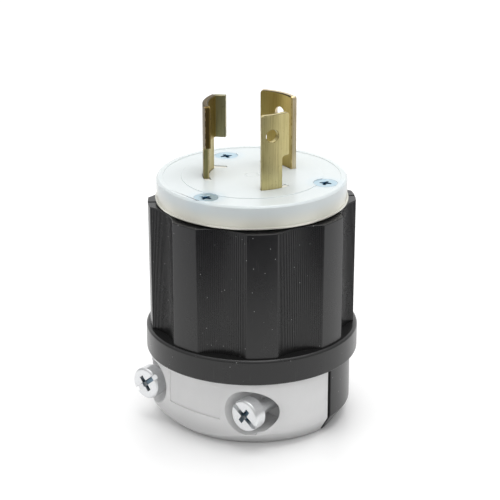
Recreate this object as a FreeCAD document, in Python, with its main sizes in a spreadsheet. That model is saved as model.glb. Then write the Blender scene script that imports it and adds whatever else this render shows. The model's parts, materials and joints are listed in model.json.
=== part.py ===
import FreeCAD, Part
import math
import os

import Sketcher
from FreeCAD import Placement, Rotation, Vector

# A locking power plug that stands on its cord end with the blades up.
# Z is the plug's axis, and the base that it stands on is at height 0.
# The cord clamp splits along the XZ plane: its pale jaw faces -Y.

# Driving sizes, in millimetres and degrees
SIZES = {
    # Shell: the fluted barrel, its flange and the fixed half of the cord clamp
    "land_radius": 31.15,
    "land_draft": 0.2,
    "flute_count": 8,
    "flute_depth": 2.85,
    "flute_radius": 16.6,
    "flute_turn": 22.5,
    "flange_step": 1.05,
    "flange_height": 7.8,
    "flange_edge": 0.6,
    "barrel_height": 38.8,
    "shell_wall": 5.15,
    "web_thickness": 3.9,
    "rim_slit_width": 0.8,
    "rim_slit_depth": 2.0,
    "rim_slit_turn": 45.0,
    # Cord clamp, shared by the fixed half and the jaw
    "clamp_height": 21.7,
    "clamp_setback": 2.1,
    "clamp_bevel": 5.2,
    "clamp_foot_side": 27.0,
    "clamp_foot_front": 24.3,
    "split_setback": 0.6,
    "clamp_gap": 1.2,
    "jaw_top_gap": 0.4,
    "jaw_front": 26.8,
    "jaw_front_radius": 55.0,
    "jaw_front_width": 44.0,
    "cord_radius": 13.5,
    "grip_depth": 1.2,
    "grip_width": 3.4,
    "grip_pitch": 6.2,
    "grip_start": 2.6,
    "core_inner": 17.0,
    "core_outer": 21.6,
    "core_span": 46.0,
    "core_depth": 16.0,
    # Clamp screws, their seats and their nuts
    "screw_spacing": 37.8,
    "screw_height": 12.0,
    "seat_radius": 5.6,
    "seat_mouth_radius": 7.9,
    "seat_face": 10.7,
    "screw_head_radius": 4.9,
    "screw_head_height": 4.0,
    "screw_head_chamfer": 0.5,
    "screw_shank_radius": 2.08,
    "screw_length": 31.75,
    "left_screw_back_off": 12.4,
    "right_screw_back_off": 10.9,
    "thread_play": 0.05,
    "screw_bore_play": 0.35,
    "screw_bore_depth": 19.6,
    "drive_slot_width": 1.4,
    "drive_slot_depth": 1.3,
    "drive_cross_span": 5.0,
    "drive_cross_depth": 2.4,
    "left_slot_turn": 40.0,
    "right_slot_turn": -35.0,
    "nut_width": 8.0,
    "nut_thickness": 3.2,
    "nut_setback": 3.6,
    "nut_play": 0.1,
    # Panel recess on the jaw, between the screws
    "panel_width": 19.6,
    "panel_height": 10.0,
    "panel_bottom": 8.4,
    "panel_depth": 0.4,
    # Face plate
    "face_setback": 2.65,
    "face_thickness": 7.0,
    "face_edge": 0.6,
    "face_lip": 0.37,
    "face_lip_height": 0.6,
    "face_gap": 0.6,
    "face_groove_setback": 2.0,
    "face_groove_width": 5.4,
    "face_groove_depth": 0.2,
    # Blades
    "blade_projection": 22.4,
    "blade_outer_radius": 14.6,
    "blade_thickness": 1.7,
    "blade_notch": 9.5,
    "blade_hole_radius": 1.9,
    "blade_hole_drop": 6.25,
    "blade_corner": 1.0,
    "blade_coining": 0.4,
    "slot_play": 0.15,
    "wide_turn": 86.5,
    "wide_base_span": 46.0,
    "wide_lug_span": 8.5,
    "wide_hole_turn": 2.9,
    "narrow_turn": -26.45,
    "narrow_base_span": 26.5,
    "narrow_lug_span": 10.6,
    "ground_turn": 211.25,
    "ground_base_span": 41.5,
    "ground_lug_span": 8.3,
    "ground_heel_span": 10.0,
    "ground_foot_length": 3.55,
    "ground_foot_lean": 26.0,
    "slot_fill_drop": 0.3,
    # Terminals under the face plate
    "tail_shoulder_span": 8.0,
    "tail_drop": 26.4,
    "terminal_roof_drop": 14.9,
    "terminal_screw_rise": 6.5,
    "terminal_screw_radius": 2.08,
    "terminal_head_radius": 3.9,
    "terminal_head_height": 2.8,
    "terminal_screw_tip": 0.6,
    "terminal_slot_width": 1.2,
    "terminal_slot_depth": 1.0,
    "wire_room": 5.1,
    "plate_thickness": 1.6,
    "plate_height": 8.0,
    "pocket_play": 0.3,
    "wire_entry_setback": 0.3,
    # Blade retainer inside the barrel
    "retainer_play": 0.4,
    "retainer_height": 24.9,
    "retainer_core_radius": 8.0,
    "retainer_core_depth": 20.0,
    # Assembly screws through the face, and the inserts that take them
    "rear_screw_turn": 152.5,
    "rear_screw_circle": 20.0,
    "right_screw_turn": 21.2,
    "right_screw_circle": 22.8,
    "front_screw_turn": -84.1,
    "front_screw_circle": 24.0,
    "face_screw_head": 3.5,
    "face_screw_head_height": 2.1,
    "face_screw_head_rim": 0.25,
    "face_screw_radius": 1.75,
    "face_screw_length": 38.1,
    "face_screw_play": 0.25,
    "face_sink_play": 0.1,
    "face_drive_span": 3.6,
    "face_drive_width": 0.9,
    "face_drive_depth": 1.6,
    "insert_radius": 2.8,
    "insert_length": 9.0,
    "boss_wall": 1.3,
}

CUT_MARGIN = 1.0

doc = FreeCAD.newDocument("locking_power_plug")
sheet = doc.addObject("Spreadsheet::Sheet", "sizes")


# Sizes that know their number and their formula
class Size:
    """A length or an angle: its number, and the sheet formula that gives it."""

    def __init__(self, value, formula):
        self.value = value
        self.formula = formula

    def __add__(self, other):
        other = size(other)
        return Size(self.value + other.value, f"({self.formula} + {other.formula})")

    def __sub__(self, other):
        other = size(other)
        return Size(self.value - other.value, f"({self.formula} - {other.formula})")

    def __mul__(self, other):
        other = size(other)
        return Size(self.value * other.value, f"({self.formula} * {other.formula})")

    def __truediv__(self, other):
        other = size(other)
        return Size(self.value / other.value, f"({self.formula} / {other.formula})")

    def __neg__(self):
        return size(0) - self

    def __radd__(self, other):
        return size(other) + self

    def __rsub__(self, other):
        return size(other) - self

    def __rmul__(self, other):
        return size(other) * self


def size(number):
    """A plain number as a Size, or the Size that it already is."""
    if isinstance(number, Size):
        return number
    return Size(float(number), f"{float(number):.6f}")


def sine(angle):
    return Size(math.sin(math.radians(angle.value)), f"sin({angle.formula})")


def cosine(angle):
    return Size(math.cos(math.radians(angle.value)), f"cos({angle.formula})")


def fill_sheet():
    """Each driving size gets a cell with its name as the alias."""
    found = {}
    for row, (name, number) in enumerate(SIZES.items(), start=1):
        sheet.set(f"A{row}", name)
        sheet.set(f"B{row}", str(number))
        sheet.setAlias(f"B{row}", name)
        found[name] = Size(float(number), f"sizes.{name}")
    doc.recompute()
    return found


class Sizes:
    """The driving sizes, by name."""


s = Sizes()
s.__dict__.update(fill_sheet())


# Features of a body, bound to the sheet
def bind(thing, path, amount):
    """The property at this path follows the formula of this size."""
    thing.setExpression(path, size(amount).formula)


def place(thing, x=0, y=0, z=0, turn=None, axis=Vector(0, 0, 1), along=None):
    """Puts a feature or a body where the sheet says, turned about one axis."""
    rotation = along or Rotation()
    if turn is not None:
        rotation = Rotation(axis, size(turn).value)
    position = Vector(size(x).value, size(y).value, size(z).value)
    thing.Placement = Placement(position, rotation)
    for letter, amount in (("x", x), ("y", y), ("z", z)):
        bind(thing, f"Placement.Base.{letter}", amount)
    if turn is not None:
        bind(thing, "Placement.Rotation.Angle", turn)


def new_body(name):
    body = doc.addObject("PartDesign::Body", name)
    body.Label = name
    return body


def plane_of(body, role):
    return next(part for part in body.Origin.OriginFeatures if part.Role == role)


def new_sketch(body, name, role="XY_Plane", height=0):
    """A sketch on one of the body's own planes, lifted along the plane's normal."""
    sketch = body.newObject("Sketcher::SketchObject", name)
    sketch.AttachmentSupport = [(plane_of(body, role), "")]
    sketch.MapMode = "FlatFace"
    bind(sketch, "AttachmentOffset.Base.z", height)
    return sketch


def datum(sketch, name, kind, *places):
    """A named measure in the sketch, bound to the sheet: the last place is its size."""
    amount = size(places[-1])
    number = amount.value
    if kind == "Angle":
        number = math.radians(number)
    sketch.addConstraint(Sketcher.Constraint(kind, *places[:-1], number))
    sketch.renameConstraint(sketch.ConstraintCount - 1, name)
    bind(sketch, f"Constraints.{name}", amount)


def coincide(sketch, *places):
    sketch.addConstraint(Sketcher.Constraint("Coincident", *places))


def polygon(sketch, corners):
    """A closed outline of straight lines, with every corner held by its two measures."""
    spots = [Vector(size(x).value, size(y).value, 0) for x, y in corners]
    for k, spot in enumerate(spots):
        sketch.addGeometry(Part.LineSegment(spot, spots[(k + 1) % len(spots)]), False)
    for k in range(len(spots)):
        coincide(sketch, k, 2, (k + 1) % len(spots), 1)
    for k, (x, y) in enumerate(corners):
        datum(sketch, f"across{k}", "DistanceX", -1, 1, k, 1, x)
        datum(sketch, f"up{k}", "DistanceY", -1, 1, k, 1, y)


def ring_sector(sketch, inner, outer, start, span):
    """A piece of a flat ring about the axis, from one angle round to another."""
    ends = [math.radians(size(start).value), math.radians(size(start + span).value)]
    centre = Vector(0, 0, 0)
    for radius in (outer, inner):
        circle = Part.Circle(centre, Vector(0, 0, 1), radius.value)
        sketch.addGeometry(Part.ArcOfCircle(circle, *ends), False)
    for angle in ends:
        ray = Vector(math.cos(angle), math.sin(angle), 0)
        sketch.addGeometry(Part.LineSegment(ray * inner.value, ray * outer.value), False)
    for arc in (0, 1):
        coincide(sketch, arc, 3, -1, 1)
    for line, end in ((2, 1), (3, 2)):
        coincide(sketch, line, 2, 0, end)
        coincide(sketch, line, 1, 1, end)
        sketch.addConstraint(Sketcher.Constraint("PointOnObject", -1, 1, line))
    datum(sketch, "outer_radius", "Radius", 0, outer)
    datum(sketch, "inner_radius", "Radius", 1, inner)
    datum(sketch, "start_angle", "Angle", 2, start)
    datum(sketch, "end_angle", "Angle", 3, start + span)


def half_disc(sketch, side, centre, radius, chord):
    """The part of a disc beyond a straight chord, on the +Y or the -Y side of it."""
    rise = chord.value - centre.value
    reach = math.sqrt(radius.value ** 2 - rise ** 2)
    ends = [math.atan2(rise, side * reach), math.atan2(rise, -side * reach)]
    if ends[1] < ends[0]:
        ends[1] += 2 * math.pi
    circle = Part.Circle(Vector(0, centre.value, 0), Vector(0, 0, 1), radius.value)
    sketch.addGeometry(Part.ArcOfCircle(circle, *ends), False)
    first = Vector(side * reach, chord.value, 0)
    last = Vector(-side * reach, chord.value, 0)
    sketch.addGeometry(Part.LineSegment(last, first), False)
    coincide(sketch, 0, 2, 1, 1)
    coincide(sketch, 1, 2, 0, 1)
    sketch.addConstraint(Sketcher.Constraint("Horizontal", 1))
    sketch.addConstraint(Sketcher.Constraint("PointOnObject", 0, 3, -2))
    datum(sketch, "centre_y", "DistanceY", -1, 1, 0, 3, centre)
    datum(sketch, "arc_radius", "Radius", 0, radius)
    datum(sketch, "chord_y", "DistanceY", -1, 1, 1, 1, chord)


def settle(body, feature):
    """The feature is worked out, becomes the body's tip, and has to have changed it."""
    before = body.Shape.Volume if body.Shape and body.Shape.Solids else 0
    body.Tip = feature
    doc.recompute()
    if abs(body.Shape.Volume - before) < 1e-4:
        raise RuntimeError(f"{body.Label}: {feature.Name} changes nothing")
    return feature


def revolve(body, name, corners):
    """A turned form: the outline is in radius and height."""
    sketch = new_sketch(body, f"{name}_outline", "XZ_Plane")
    polygon(sketch, corners)
    turned = body.newObject("PartDesign::Revolution", name)
    turned.Profile = sketch
    turned.ReferenceAxis = (sketch, ["V_Axis"])
    turned.Angle = 360
    return settle(body, turned)


def pad(body, name, sketch, length):
    raised = body.newObject("PartDesign::Pad", name)
    raised.Profile = sketch
    bind(raised, "Length", length)
    return settle(body, raised)


def pocket(body, name, sketch, depth):
    """Cuts from the sketch downwards."""
    cut = body.newObject("PartDesign::Pocket", name)
    cut.Profile = sketch
    bind(cut, "Length", depth)
    return settle(body, cut)


def loft(body, name, lower, upper):
    between = body.newObject("PartDesign::AdditiveLoft", name)
    between.Profile = lower
    between.Sections = [upper]
    between.Ruled = True
    return settle(body, between)


TOWARDS = {
    "z": Rotation(),
    "y": Rotation(Vector(1, 0, 0), -90),
    "-y": Rotation(Vector(1, 0, 0), 90),
    "x": Rotation(Vector(0, 1, 0), 90),
    "-x": Rotation(Vector(0, 1, 0), -90),
}


def primitive(body, kind, name, measures, at, along="z"):
    """A cylinder, cone or box that is added to the body or cut from it."""
    thing = body.newObject(f"PartDesign::{kind}", name)
    for path, amount in measures.items():
        bind(thing, path, amount)
    place(thing, *at, along=TOWARDS[along])
    return settle(body, thing)


def add_cylinder(body, name, radius, height, at, along="z"):
    measures = {"Radius": radius, "Height": height}
    return primitive(body, "AdditiveCylinder", name, measures, at, along)


def cut_cylinder(body, name, radius, height, at, along="z"):
    measures = {"Radius": radius, "Height": height}
    return primitive(body, "SubtractiveCylinder", name, measures, at, along)


def cut_cone(body, name, bottom, top, height, at, along="z"):
    measures = {"Radius1": bottom, "Radius2": top, "Height": height}
    return primitive(body, "SubtractiveCone", name, measures, at, along)


def box_at(body, kind, name, centre, lengths, turn=0):
    """A box about its centre in X and Y that starts at a height, turned about Z."""
    thing = body.newObject(f"PartDesign::{kind}", name)
    for path, amount in zip(("Length", "Width", "Height"), lengths):
        bind(thing, path, amount)
    x, y, z = (size(amount) for amount in centre)
    turn = size(turn)
    long_half = size(lengths[0]) / 2
    wide_half = size(lengths[1]) / 2
    corner_x = x - long_half * cosine(turn) + wide_half * sine(turn)
    corner_y = y - long_half * sine(turn) - wide_half * cosine(turn)
    place(thing, corner_x, corner_y, z, turn=turn)
    return settle(body, thing)


def cut_box(body, name, centre, lengths, turn=0):
    return box_at(body, "SubtractiveBox", name, centre, lengths, turn)


def polar_pattern(body, name, feature, count):
    pattern = body.newObject("PartDesign::PolarPattern", name)
    pattern.Originals = [feature]
    pattern.Axis = (plane_of(body, "Z_Axis"), [""])
    pattern.Angle = 360
    bind(pattern, "Occurrences", count)
    return settle(body, pattern)


def dress(body, kind, name, amount, wanted):
    """A fillet or chamfer on the edges that the test picks."""
    base = body.Tip
    edges = [f"Edge{k}" for k, edge in enumerate(base.Shape.Edges, start=1) if wanted(edge)]
    if not edges:
        raise RuntimeError(f"{body.Label}: {name} finds no edge")
    dressed = body.newObject(f"PartDesign::{kind}", name)
    dressed.Base = (base, edges)
    bind(dressed, "Radius" if kind == "Fillet" else "Size", amount)
    return settle(body, dressed)


def is_circle_at(edge, radius, height):
    """Whether the edge runs round the axis at this radius and height."""
    curve = edge.Curve
    if not isinstance(curve, Part.Circle):
        return False
    on_axis = math.hypot(curve.Center.x, curve.Center.y) < 1e-4
    at_height = abs(curve.Center.z - size(height).value) < 1e-4
    return on_axis and at_height and abs(curve.Radius - size(radius).value) < 1e-4


# Heights and radii that several pieces share
flange_radius = s.land_radius + s.flange_step
bore_radius = s.land_radius - s.shell_wall
retainer_radius = bore_radius - s.retainer_play
clamp_radius = flange_radius - s.clamp_setback
face_radius = s.land_radius - s.face_setback
groove_outer = face_radius - s.face_groove_setback
groove_inner = groove_outer - s.face_groove_width
web_top = s.clamp_height + s.web_thickness
flange_top = s.clamp_height + s.flange_height
rim = flange_top + s.barrel_height
face_under = rim + s.face_gap
face_top = face_under + s.face_thickness
face_seat = face_top - s.face_groove_depth
blade_tip = face_top + s.blade_projection
notch_height = face_top + s.blade_notch
blade_inner_radius = s.blade_outer_radius - s.blade_thickness
plate_seat = s.blade_outer_radius + s.wire_room
wire_entry_depth = s.wire_room - 2 * s.wire_entry_setback
terminal_head_seat = plate_seat + s.plate_thickness
terminal_screw_length = terminal_head_seat - blade_inner_radius + s.terminal_screw_tip
retainer_under = face_under - s.retainer_height
tail_bottom = face_top - s.tail_drop
terminal_roof = face_top - s.terminal_roof_drop
terminal_height = tail_bottom + s.terminal_screw_rise
screw_half = s.screw_spacing / 2
screw_bore = s.screw_shank_radius + s.screw_bore_play
nut_space = s.nut_width + 2 * s.nut_play
nut_middle = s.nut_setback + s.nut_thickness / 2
boss_radius = s.insert_radius + s.boss_wall
insert_bottom = retainer_under - s.insert_length
play_angle = size(math.degrees(1)) * s.slot_play / s.blade_outer_radius
land_low_radius = s.land_radius - s.land_draft
foot_centre = (s.clamp_foot_front * s.clamp_foot_front
               - s.clamp_foot_side * s.clamp_foot_side) / (2 * s.clamp_foot_front)
foot_radius = s.clamp_foot_front - foot_centre

FACE_SCREWS = {
    "rear": (s.rear_screw_turn, s.rear_screw_circle),
    "right": (s.right_screw_turn, s.right_screw_circle),
    "front": (s.front_screw_turn, s.front_screw_circle),
}

BLADES = {
    "wide": (s.wide_turn, s.wide_base_span, s.wide_lug_span, size(0)),
    "narrow": (s.narrow_turn, s.narrow_base_span, s.narrow_lug_span, size(0)),
    "ground": (s.ground_turn, s.ground_base_span, s.ground_lug_span, s.ground_heel_span),
}

CLAMP_SIDES = {"left": -1, "right": 1}


def on_circle(turn, circle):
    return circle * cosine(turn), circle * sine(turn)


def placed_on_circle(turn, circle, height):
    return (*on_circle(turn, circle), height)


# Cord clamp halves
def clamp_half(body, side, chord, top):
    """Half of the clamp block: straight above, drawn in to a smaller foot below."""
    straight = new_sketch(body, "straight_outline", height=s.clamp_bevel)
    half_disc(straight, side, size(0), clamp_radius, chord)
    pad(body, "clamp_block", straight, top - s.clamp_bevel)
    shoulder = new_sketch(body, "shoulder_outline", height=s.clamp_bevel)
    half_disc(shoulder, side, size(0), clamp_radius, chord)
    foot = new_sketch(body, "foot_outline")
    half_disc(foot, side, side * foot_centre, foot_radius, chord)
    loft(body, "clamp_foot", foot, shoulder)


def cord_channel(body, top):
    """The cord's way through one half, with ridges that bite on it between the grooves."""
    channel_height = top + 2 * CUT_MARGIN
    cut_cylinder(body, "cord_channel", s.cord_radius, channel_height, (0, 0, -CUT_MARGIN))
    for k in range(3):
        height = s.grip_start + k * s.grip_pitch
        groove = s.cord_radius + s.grip_depth
        cut_cylinder(body, f"grip_groove_{k}", groove, s.grip_width, (0, 0, height))


def core_pocket(body, side):
    """A crescent cored out from below, between the cord channel and the outer wall."""
    sketch = new_sketch(body, "core_outline", height=s.core_depth)
    start = side * size(90) - s.core_span / 2
    ring_sector(sketch, s.core_inner, s.core_outer, start, s.core_span)
    pocket(body, "core", sketch, s.core_depth + CUT_MARGIN)


# Shell
def make_shell():
    """The barrel, its flange and the fixed half of the cord clamp, moulded as one piece."""
    body = new_body("shell")
    revolve(body, "barrel", [
        (bore_radius, s.clamp_height),
        (land_low_radius, s.clamp_height),
        (land_low_radius, flange_top),
        (s.land_radius, rim),
        (bore_radius, rim),
    ])
    cut_flutes(body)
    cut_rim_slits(body)
    revolve(body, "flange", [
        (s.cord_radius, s.clamp_height),
        (flange_radius, s.clamp_height),
        (flange_radius, flange_top - s.flange_edge),
        (flange_radius - s.flange_edge, flange_top),
        (bore_radius, flange_top),
        (bore_radius, web_top),
        (s.cord_radius, web_top),
    ])
    for name, (turn, circle) in FACE_SCREWS.items():
        boss_place = placed_on_circle(turn, circle, web_top)
        add_cylinder(body, f"boss_{name}", boss_radius, retainer_under - web_top, boss_place)
        seat_place = placed_on_circle(turn, circle, insert_bottom)
        cut_cylinder(body, f"insert_seat_{name}", s.insert_radius, s.insert_length + CUT_MARGIN,
                     seat_place)
    clamp_half(body, 1, s.split_setback, s.clamp_height)
    cord_channel(body, s.clamp_height)
    core_pocket(body, 1)
    for name, side in CLAMP_SIDES.items():
        cut_cylinder(body, f"screw_bore_{name}", screw_bore, s.screw_bore_depth,
                     (side * screw_half, 0, s.screw_height), "y")
        cut_box(body, f"nut_slot_{name}", (side * screw_half, nut_middle, -CUT_MARGIN),
                (nut_space, s.nut_thickness + 2 * s.nut_play,
                 s.screw_height + nut_space / 2 + CUT_MARGIN))
    return body


def cut_flutes(body):
    """Hollow flutes that run down into the flange, with a smooth land between each two."""
    flute_circle = s.land_radius - s.flute_depth + s.flute_radius
    length = s.barrel_height + s.flange_height / 2 + CUT_MARGIN
    flute = cut_cylinder(body, "flute", s.flute_radius, length,
                         placed_on_circle(s.flute_turn, flute_circle, s.clamp_height
                                          + s.flange_height / 2))
    polar_pattern(body, "flutes", flute, s.flute_count)


def cut_rim_slits(body):
    """Two keying slits in the rim, across the wall from each other."""
    length = s.shell_wall + 2 * CUT_MARGIN
    middle = (s.land_radius + bore_radius) / 2
    slit = cut_box(body, "rim_slit",
                   placed_on_circle(s.rim_slit_turn, middle, rim - s.rim_slit_depth),
                   (length, s.rim_slit_width, s.rim_slit_depth + CUT_MARGIN), s.rim_slit_turn)
    polar_pattern(body, "rim_slits", slit, 2)


# Loose jaw of the cord clamp
def make_clamp_jaw():
    """Drawn where it closes on the fixed half, and then backed off by the gap."""
    body = new_body("clamp_jaw")
    top = s.clamp_height - s.jaw_top_gap
    clamp_half(body, -1, s.clamp_gap - s.split_setback, top)
    front = new_sketch(body, "front_outline", height=top + CUT_MARGIN)
    outside_front(front, s.jaw_front_radius, s.jaw_front_width)
    pocket(body, "flatter_front", front, top + 2 * CUT_MARGIN)
    cord_channel(body, top)
    core_pocket(body, -1)
    for name, side in CLAMP_SIDES.items():
        seat_depth = clamp_radius - s.seat_face
        cut_cylinder(body, f"screw_bore_{name}", screw_bore, clamp_radius,
                     (side * screw_half, s.split_setback + s.clamp_gap, s.screw_height), "-y")
        cut_cone(body, f"screw_seat_{name}", s.seat_radius, s.seat_mouth_radius, seat_depth,
                 (side * screw_half, -s.seat_face, s.screw_height), "-y")
    panel = new_sketch(body, "panel_outline", height=s.panel_bottom + s.panel_height)
    outside_front(panel, s.jaw_front_radius - s.panel_depth, s.panel_width)
    pocket(body, "panel", panel, s.panel_height)
    place(body, 0, -s.clamp_gap, 0)
    return body


def outside_front(sketch, radius, width):
    """What lies outside the jaw's front arc, or outside one parallel to it, over a width."""
    centre = s.jaw_front_radius - s.jaw_front
    outer = clamp_radius + CUT_MARGIN
    half_angle = math.asin(width.value / 2 / radius.value)
    ends = [-math.pi / 2 - half_angle, -math.pi / 2 + half_angle]
    circle = Part.Circle(Vector(0, centre.value, 0), Vector(0, 0, 1), radius.value)
    sketch.addGeometry(Part.ArcOfCircle(circle, *ends), False)
    edge = centre.value - radius.value * math.cos(half_angle)
    corners = [Vector(side * width.value / 2, y, 0)
               for side, y in ((1, edge), (1, -outer.value), (-1, -outer.value), (-1, edge))]
    for first, last in zip(corners, corners[1:]):
        sketch.addGeometry(Part.LineSegment(first, last), False)
    for places in ((0, 2, 1, 1), (1, 2, 2, 1), (2, 2, 3, 1), (3, 2, 0, 1)):
        coincide(sketch, *places)
    for line in (1, 3):
        sketch.addConstraint(Sketcher.Constraint("Vertical", line))
    sketch.addConstraint(Sketcher.Constraint("Horizontal", 2))
    sketch.addConstraint(Sketcher.Constraint("PointOnObject", 0, 3, -2))
    datum(sketch, "centre_y", "DistanceY", -1, 1, 0, 3, centre)
    datum(sketch, "arc_radius", "Radius", 0, radius)
    datum(sketch, "half_width", "DistanceX", -1, 1, 2, 1, width / 2)
    datum(sketch, "full_width", "DistanceX", 2, 2, 2, 1, width)
    datum(sketch, "outer_y", "DistanceY", 2, 1, -1, 1, outer)


# Face plate
def make_face_plate():
    """The white disc that closes the barrel, with the blade slots and the sunk screws."""
    body = new_body("face_plate")
    lip_radius = face_radius + s.face_lip
    revolve(body, "disc", [
        (0, face_under),
        (lip_radius, face_under),
        (lip_radius, face_under + s.face_lip_height),
        (face_radius, face_under + s.face_lip_height),
        (face_radius, face_top - s.face_edge),
        (face_radius - s.face_edge, face_top),
        (groove_outer, face_top),
        (groove_outer, face_seat),
        (groove_inner, face_seat),
        (groove_inner, face_top),
        (0, face_top),
    ])
    slot_inner = blade_inner_radius - s.slot_play
    slot_outer = s.blade_outer_radius + s.slot_play
    for name, (turn, base, lug, heel) in BLADES.items():
        sketch = new_sketch(body, f"{name}_slot_outline", height=face_top + CUT_MARGIN)
        start = turn - base / 2 - heel - play_angle
        ring_sector(sketch, slot_inner, slot_outer, start, base + lug + heel + 2 * play_angle)
        pocket(body, f"{name}_slot", sketch, s.face_thickness + 2 * CUT_MARGIN)
    foot_box(body, "SubtractiveBox", "foot_slot", s.ground_turn, s.slot_play,
             face_under - CUT_MARGIN, s.face_thickness + 2 * CUT_MARGIN)
    hole = s.face_screw_radius + s.face_screw_play
    sink = s.face_screw_head + s.face_sink_play
    for name, (turn, circle) in FACE_SCREWS.items():
        cut_cylinder(body, f"{name}_hole", hole, s.face_thickness + 2 * CUT_MARGIN,
                     placed_on_circle(turn, circle, face_under - CUT_MARGIN))
        sink_place = placed_on_circle(turn, circle, face_seat - s.face_screw_head_height)
        cut_cone(body, f"{name}_sink", hole, sink,
                 s.face_screw_head_height - s.face_screw_head_rim, sink_place)
        cut_cylinder(body, f"{name}_rim", sink, s.face_screw_head_rim + CUT_MARGIN,
                     placed_on_circle(turn, circle, face_seat - s.face_screw_head_rim))
    return body


def foot_box(body, kind, name, turn, play, bottom, height):
    """The inward foot at the heel end of the ground blade, or the room for it."""
    middle_radius = s.blade_outer_radius - s.blade_thickness / 2
    half_thickness = size(math.degrees(1)) * s.blade_thickness / 2 / middle_radius
    heel = turn - s.ground_base_span / 2 - s.ground_heel_span + half_thickness
    towards = heel + s.ground_foot_lean
    start_x, start_y = on_circle(heel, middle_radius)
    half = (s.ground_foot_length + 2 * play) / 2
    offset = s.ground_foot_length / 2
    centre = (start_x - offset * cosine(towards), start_y - offset * sine(towards), bottom)
    lengths = (2 * half, s.blade_thickness + 2 * play, height)
    return box_at(body, kind, name, centre, lengths, towards)


# Blades, each drawn with the middle of its base on the X axis and then turned to its place
def make_blade(name):
    turn, base, lug, heel = BLADES[name]
    body = new_body(f"{name}_blade")
    shoulder = s.tail_shoulder_span
    for part, start, span, bottom, top in (
        ("tail", -base / 2 - shoulder / 2, base + shoulder, tail_bottom, terminal_roof),
        ("neck", -base / 2, base, tail_bottom, notch_height),
        ("head", -base / 2 - heel, base + lug + heel, notch_height, blade_tip),
    ):
        sketch = new_sketch(body, f"{part}_outline", height=bottom)
        ring_sector(sketch, blade_inner_radius, s.blade_outer_radius, start, span)
        pad(body, part, sketch, top - bottom)
    dress(body, "Fillet", "tip_corners", s.blade_corner, is_tip_corner)
    dress(body, "Chamfer", "coined_tip", s.blade_coining, is_tip_arc)
    if name == "ground":
        foot_box(body, "AdditiveBox", "foot", size(0), size(0), notch_height,
                 s.blade_projection - s.blade_notch)
    hole_turn = s.wide_hole_turn if name == "wide" else size(0)
    radial_cut(body, "hole", s.blade_hole_radius, blade_tip - s.blade_hole_drop, hole_turn)
    thread = s.terminal_screw_radius + s.thread_play
    radial_cut(body, "terminal_thread", thread, terminal_height, size(0))
    place(body, turn=turn)
    return body


def radial_cut(body, name, radius, height, turn):
    """A round hole through the strip, square to it, at an angle about the axis."""
    hole = cut_cylinder(body, name, radius, s.blade_outer_radius + CUT_MARGIN, (0, 0, height), "x")
    hole.Placement.Rotation = Rotation(Vector(0, 0, 1), turn.value) * TOWARDS["x"]
    doc.recompute()


def is_tip_corner(edge):
    """The short edges across the strip at the two top corners."""
    ends = [vertex.Point for vertex in edge.Vertexes]
    at_tip = all(abs(end.z - blade_tip.value) < 1e-4 for end in ends)
    return at_tip and isinstance(edge.Curve, Part.Line)


def is_tip_arc(edge):
    return (is_circle_at(edge, s.blade_outer_radius, blade_tip)
            or is_circle_at(edge, blade_inner_radius, blade_tip))


# Terminals, drawn about the X axis and turned to their blades
def make_pressure_plate(name):
    turn, base = BLADES[name][:2]
    body = new_body(f"{name}_pressure_plate")
    centre = (plate_seat + s.plate_thickness / 2, 0, terminal_height - s.plate_height / 2)
    box_at(body, "AdditiveBox", "plate", centre,
           (s.plate_thickness, plate_width(base), s.plate_height))
    hole = s.terminal_screw_radius + s.pocket_play
    cut_cylinder(body, "hole", hole, terminal_head_seat + CUT_MARGIN,
                 (0, 0, terminal_height), "x")
    place(body, turn=turn)
    return body


def plate_width(base):
    """As wide as the shouldered tail of the blade that it presses the wire on."""
    return 2 * s.blade_outer_radius * sine((base + s.tail_shoulder_span) / 2)


def make_terminal_screw(name):
    turn = BLADES[name][0]
    body = new_body(f"{name}_terminal_screw")
    add_cylinder(body, "head", s.terminal_head_radius, s.terminal_head_height,
                 (terminal_head_seat, 0, terminal_height), "x")
    add_cylinder(body, "shank", s.terminal_screw_radius, terminal_screw_length,
                 (terminal_head_seat - terminal_screw_length, 0, terminal_height), "x")
    slot_middle = terminal_head_seat + s.terminal_head_height - s.terminal_slot_depth / 2
    slot_length = 2 * s.terminal_head_radius + CUT_MARGIN
    cut_box(body, "slot",
            (slot_middle, 0, terminal_height - s.terminal_slot_width / 2),
            (s.terminal_slot_depth, slot_length, s.terminal_slot_width))
    place(body, turn=turn)
    return body


# Blade retainer
def make_blade_retainer():
    """The inner block that holds the blades and the terminals, and stands on the bosses."""
    body = new_body("blade_retainer")
    add_cylinder(body, "block", retainer_radius, s.retainer_height, (0, 0, retainer_under))
    cut_cylinder(body, "core", s.retainer_core_radius, s.retainer_core_depth + CUT_MARGIN,
                 (0, 0, retainer_under - CUT_MARGIN))
    for name in BLADES:
        fill_slot(body, name)
    for name in BLADES:
        cut_terminal(body, name)
    hole = s.face_screw_radius + s.face_screw_play
    for name, (turn, circle) in FACE_SCREWS.items():
        cut_cylinder(body, f"{name}_hole", hole, s.retainer_height + 2 * CUT_MARGIN,
                     placed_on_circle(turn, circle, retainer_under - CUT_MARGIN))
    return body


def fill_slot(body, name):
    """Tongues that fill what the blade leaves open of its slot in the face plate."""
    turn, base, lug, heel = BLADES[name]
    height = s.face_thickness - s.slot_fill_drop
    parts = [("lug", turn + base / 2 + play_angle, lug - play_angle)]
    if heel.value > 0:
        parts.append(("heel", turn - base / 2 - heel, heel - play_angle))
    for part, start, span in parts:
        sketch = new_sketch(body, f"{name}_{part}_outline", height=face_under - CUT_MARGIN)
        ring_sector(sketch, blade_inner_radius, s.blade_outer_radius, start, span)
        pad(body, f"{name}_{part}_tongue", sketch, height + CUT_MARGIN)
    if heel.value > 0:
        foot_box(body, "AdditiveBox", "foot_tongue", turn, size(0), face_under - CUT_MARGIN,
                 height + CUT_MARGIN)


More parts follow.
